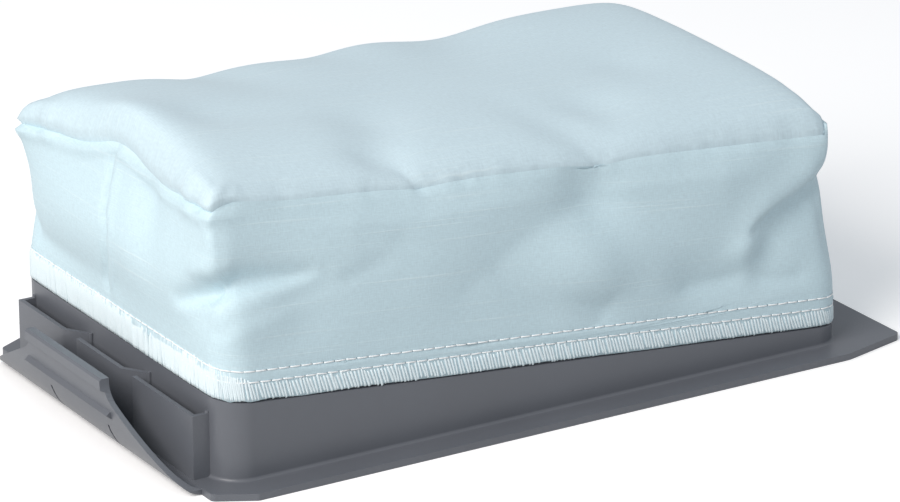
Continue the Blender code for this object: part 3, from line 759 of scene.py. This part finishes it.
# Hem stitches
# Two rows of white thread hold the elastic in the hem. Each visible stitch is a little over 3 mm of
# thread lying on the cloth, and its ends go down into small holes.


def point_round(distance):
    """The plan place on the wall's outline at a distance round it, and the way out there."""
    distance = distance % ROUND
    sides = [
        (STRAIGHT_X, (0, -STRAIGHT_Y), (1, 0)),
        (2 * STRAIGHT_Y, (STRAIGHT_X, -STRAIGHT_Y), (0, 1)),
        (2 * STRAIGHT_X, (STRAIGHT_X, STRAIGHT_Y), (-1, 0)),
        (2 * STRAIGHT_Y, (-STRAIGHT_X, STRAIGHT_Y), (0, -1)),
        (STRAIGHT_X, (-STRAIGHT_X, -STRAIGHT_Y), (1, 0)),
    ]
    for length, start, run in sides:
        run = Vector(run)
        out = Vector((run.y, -run.x))
        if distance < length:
            return Vector(start) + run * distance + out * CORNER, out
        distance -= length
        if distance < QUARTER:
            turned = Matrix.Rotation(distance / CORNER, 2) @ out
            return Vector(start) + run * length + turned * CORNER, turned
        distance -= QUARTER
    return Vector((0, -STRAIGHT_Y - CORNER)), Vector((0, -1))


band_surface = BVHTree.FromObject(side_band, bpy.context.evaluated_depsgraph_get())


def on_hem(distance, rise):
    """Place on the hem's outer face at a height over its lower edge, with its way along and out."""
    spot, out = point_round(distance)
    height = hem_height(spot.x) + rise
    out = Vector((out.x, out.y, 0))
    start = Vector((spot.x, spot.y, height)) + out * 0.02
    hit, normal, _, _ = band_surface.ray_cast(start, -out, 0.03)
    if hit is None:
        hit = Vector((spot.x, spot.y, height))
        normal = out
    normal = (normal + 2 * out).normalized()
    along = Vector((-out.y, out.x, 0))
    along.z = -along.x * HEM_SLOPE
    along = (along - normal * along.dot(normal)).normalized()
    return Matrix.Translation(hit) @ Matrix((along, normal.cross(along), normal)).transposed().to_4x4()


def thread_strand(name, sections, radius):
    """A short thread modelled along a line of sections (along, up, out, size), in millimetres."""
    bpy.ops.object.select_all(action="DESELECT")
    first = Vector(sections[0][:3]) * MM
    bpy.ops.mesh.primitive_circle_add(
        vertices=6, radius=radius * sections[0][3], fill_type="NGON", location=(0, 0, 0)
    )
    strand = bpy.context.active_object
    strand.name = name
    bpy.ops.object.mode_set(mode="EDIT")
    bpy.ops.mesh.select_all(action="SELECT")
    turn = Vector(sections[1][:3]) - Vector(sections[0][:3])
    upright = turn.to_track_quat("Z", "Y").to_matrix()
    shape = bmesh.from_edit_mesh(strand.data)
    for vertex in shape.verts:
        vertex.co = upright @ vertex.co + first
    for before, after in zip(sections, sections[1:]):
        step = (Vector(after[:3]) - Vector(before[:3])) * MM
        size = after[3] / before[3]
        bpy.ops.mesh.extrude_region_move(TRANSFORM_OT_translate={"value": step})
        bpy.ops.transform.resize(value=(size, size, size))
    bpy.ops.mesh.select_all(action="SELECT")
    bpy.ops.mesh.normals_make_consistent(inside=False)
    bpy.ops.object.mode_set(mode="OBJECT")
    return strand


def copies(name, master, places, thread):
    """Copies of a modelled strand at many places, as one piece."""
    points = read_vectors(master, "co")
    faces = [list(polygon.vertices) for polygon in master.data.polygons]
    all_points = []
    all_faces = []
    for place in places:
        matrix = np.array(place)
        first = len(all_points) * len(points)
        all_points.append(points @ matrix[:3, :3].T + matrix[:3, 3])
        all_faces += [[first + i for i in face] for face in faces]
    mesh = bpy.data.meshes.new(name)
    mesh.from_pydata(np.concatenate(all_points).tolist(), [], all_faces)
    mesh.shade_smooth()
    mesh.materials.append(thread)
    piece = bpy.data.objects.new(name, mesh)
    scene.collection.objects.link(piece)
    bpy.data.objects.remove(master)
    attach(piece, "root")


def sewing_thread(name, shade, light):
    """Spun polyester thread, darker between its fibres."""
    made, tree, shader = new_material(name)
    place = node(tree, "ShaderNodeTexCoord")
    fibres = node(
        tree,
        "ShaderNodeTexNoise",
        {"Vector": place.outputs["Object"], "Scale": 5200.0, "Detail": 2.0},
    )
    tone = node(
        tree, "ShaderNodeMix", {"Factor": fibres.outputs["Fac"], 6: shade, 7: light}, data_type="RGBA"
    )
    bump = node(
        tree,
        "ShaderNodeBump",
        {"Strength": 0.5, "Distance": 0.0001, "Height": fibres.outputs["Fac"]},
    )
    tree.links.new(tone.outputs[2], shader.inputs["Base Color"])
    tree.links.new(bump.outputs["Normal"], shader.inputs["Normal"])
    shader.inputs["Roughness"].default_value = 0.6
    return made


stitch_line = [(-1.65, 0, -0.2, 0.7), (-1.45, 0, 0.1, 1), (-0.5, 0, 0.2, 1.1), (0.5, 0, 0.2, 1.1)]
stitch_line += [(1.45, 0, 0.1, 1), (1.65, 0, -0.2, 0.7)]
stitch = thread_strand("stitch", stitch_line, 0.2 * MM)
stitch_places = []
for row, shift in STITCH_ROWS:
    for index in range(STITCHES):
        lean = noise.noise(Vector((index * 1.7, row / MM, 0.3)))
        spot = (index + shift + 0.04 * lean) / STITCHES * ROUND
        tilt = Matrix.Rotation(0.12 * lean, 4, "Z")
        stitch_places.append(on_hem(spot, row) @ tilt)
stitch_thread = sewing_thread("white sewing thread", (0.88, 0.91, 0.92, 1), (0.97, 0.98, 0.98, 1))
copies("hem_stitches", stitch, stitch_places, stitch_thread)


# Overlocked edge
# The hem's raw edge is overlocked: pale thread runs over it in slanting loops about a millimetre
# apart. At the latch end they are denser and longer, up to about the upper row of stitches.

OVERLOCKS = 600
LOOP_MIDDLE = 2.4
loop_line = [(-0.65, 4.5, -0.12, 0.7), (-0.45, 3.8, 0.0, 1), (-0.1, 2.5, 0.03, 1.1), (0.3, 1.0, 0.05, 1.1)]
loop_line += [(0.5, 0.2, 0.1, 1), (0.55, -0.3, 0.06, 0.8)]
overlock_loop = thread_strand("overlock_loop", loop_line, 0.29 * MM)
loop_places = []
for index in range(2 * OVERLOCKS):
    uneven = noise.noise(Vector((index * 0.9, 5.1, 0.7)))
    shaggy = noise.noise(Vector((index * 2.3, 7.7, 1.9)))
    spot = (index + 0.35 * uneven) / (2 * OVERLOCKS) * ROUND
    base = on_hem(spot, LOOP_MIDDLE * MM)
    dense = min(max((LATCH_STRETCH_START - base.translation.x) / LATCH_STRETCH, 0), 1)
    if index % 2 and dense < 0.5:
        continue
    taller = noise.noise(Vector((index * 1.3, 2.2, 9.7)))
    reach = 0.97 + 0.3 * taller + dense * (0.72 + 0.12 * shaggy)
    slant = 1.3 + 0.5 * uneven + dense * (0.8 * shaggy - 0.3)
    size = Matrix.Diagonal((slant, reach, 1 + 0.3 * dense, 1))
    drop = (-LOOP_MIDDLE + 0.6 * shaggy * (1 - dense)) * MM
    loop_places.append(base @ Matrix.Translation((0, drop, 0)) @ size)
edge_thread = sewing_thread("overlock thread", (0.64, 0.765, 0.81, 1), (0.81, 0.885, 0.91, 1))
copies("overlocked_edge", overlock_loop, loop_places, edge_thread)
